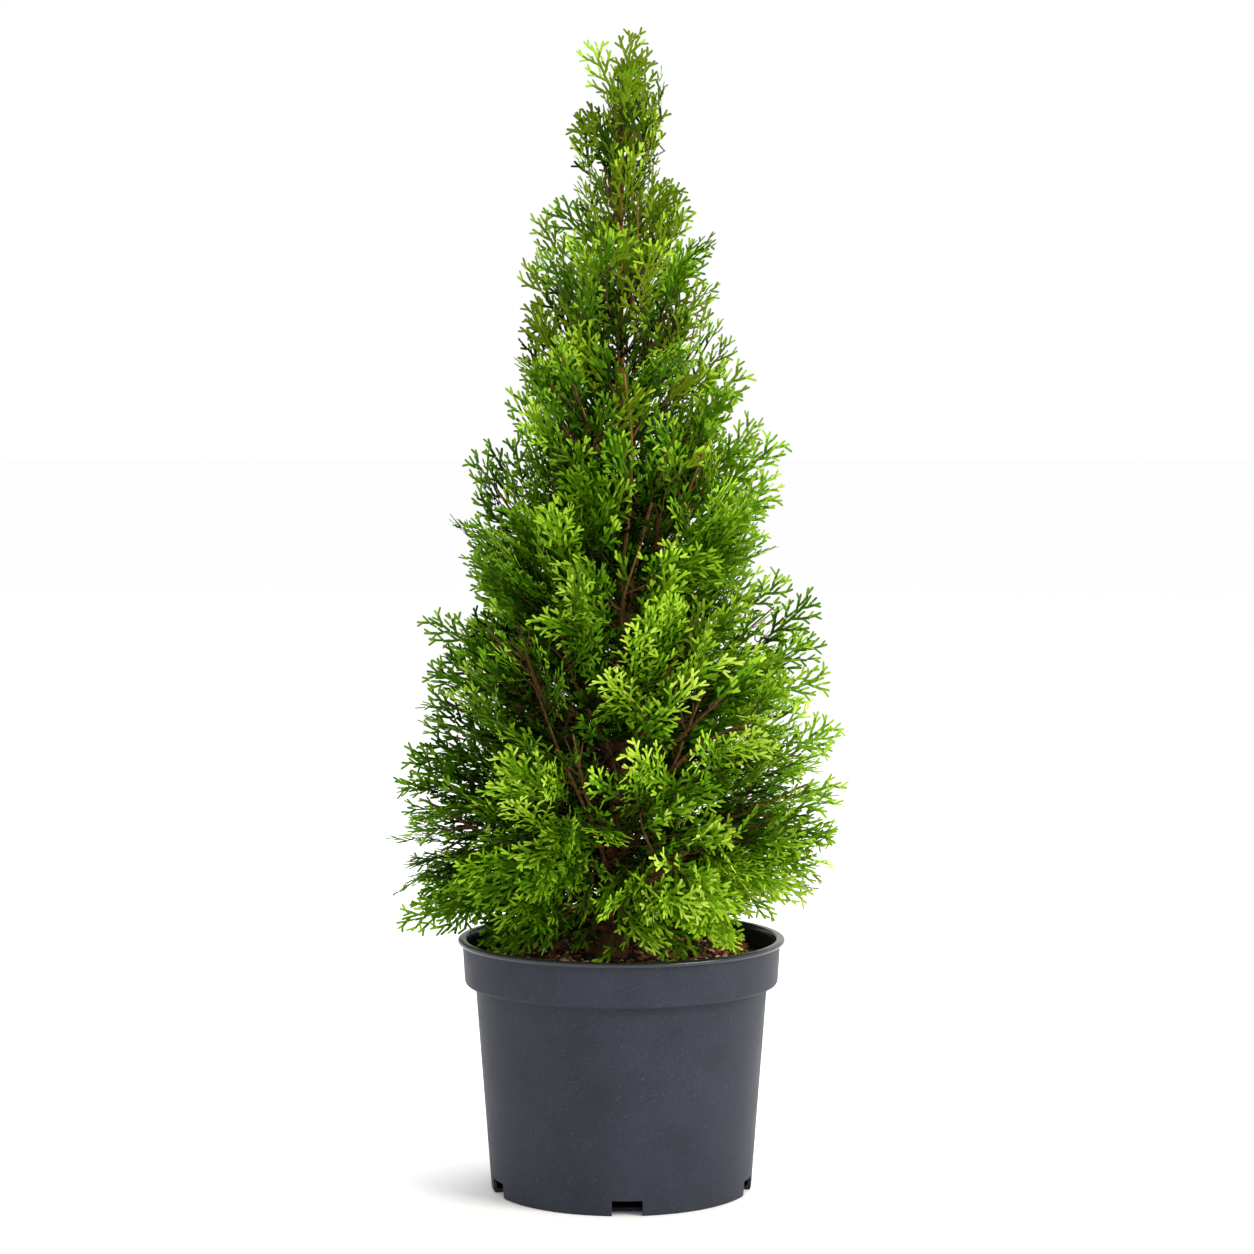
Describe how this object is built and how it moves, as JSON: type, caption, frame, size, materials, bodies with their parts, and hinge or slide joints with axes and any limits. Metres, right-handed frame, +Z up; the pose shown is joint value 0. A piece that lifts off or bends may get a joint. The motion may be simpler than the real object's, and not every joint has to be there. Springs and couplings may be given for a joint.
{
  "type": "potted conifer",
  "caption": "Young cone-shaped thuja in a round tapered nursery pot: trunk, boughs and foliage masses that stand as one piece.",
  "frame": {"origin": "centre of the pot's flat underside", "axes": "+Z up the trunk, -Y is the front"},
  "size_m": [0.3045, 0.308, 0.7929],
  "materials": {
    "pot": "satin moulded slate-grey plastic",
    "soil": "matt moist bark compost",
    "bark": "matt stringy reddish-brown bark",
    "foliage": "satin green scale leaves"
  },
  "bodies": {
    "root": {"pot": "pot", "potting_soil": "soil", "trunk": "bark", "bough_01": "bark", "foliage_01": "foliage", "bough_02": "bark", "foliage_02": "foliage", "bough_03": "bark", "foliage_03": "foliage", "bough_04": "bark", "foliage_04": "foliage", "bough_05": "bark", "foliage_05": "foliage", "bough_06": "bark", "foliage_06": "foliage", "bough_07": "bark", "foliage_07": "foliage", "bough_08": "bark", "foliage_08": "foliage", "bough_09": "bark", "foliage_09": "foliage", "bough_10": "bark", "foliage_10": "foliage", "bough_11": "bark", "foliage_11": "foliage", "bough_12": "bark", "foliage_12": "foliage", "bough_13": "bark", "foliage_13": "foliage", "bough_14": "bark", "foliage_14": "foliage", "bough_15": "bark", "foliage_15": "foliage", "bough_16": "bark", "foliage_16": "foliage", "bough_17": "bark", "foliage_17": "foliage", "bough_18": "bark", "foliage_18": "foliage", "bough_19": "bark", "foliage_19": "foliage", "bough_20": "bark", "foliage_20": "foliage", "bough_21": "bark", "foliage_21": "foliage", "bough_22": "bark", "foliage_22": "foliage", "bough_23": "bark", "foliage_23": "foliage", "bough_24": "bark", "foliage_24": "foliage", "skirt_bough_1": "bark", "skirt_foliage_1": "foliage", "skirt_bough_2": "bark", "skirt_foliage_2": "foliage", "skirt_bough_3": "bark", "skirt_foliage_3": "foliage", "skirt_bough_4": "bark", "skirt_foliage_4": "foliage", "foliage_leader": "foliage"}
  },
  "joints": []
}
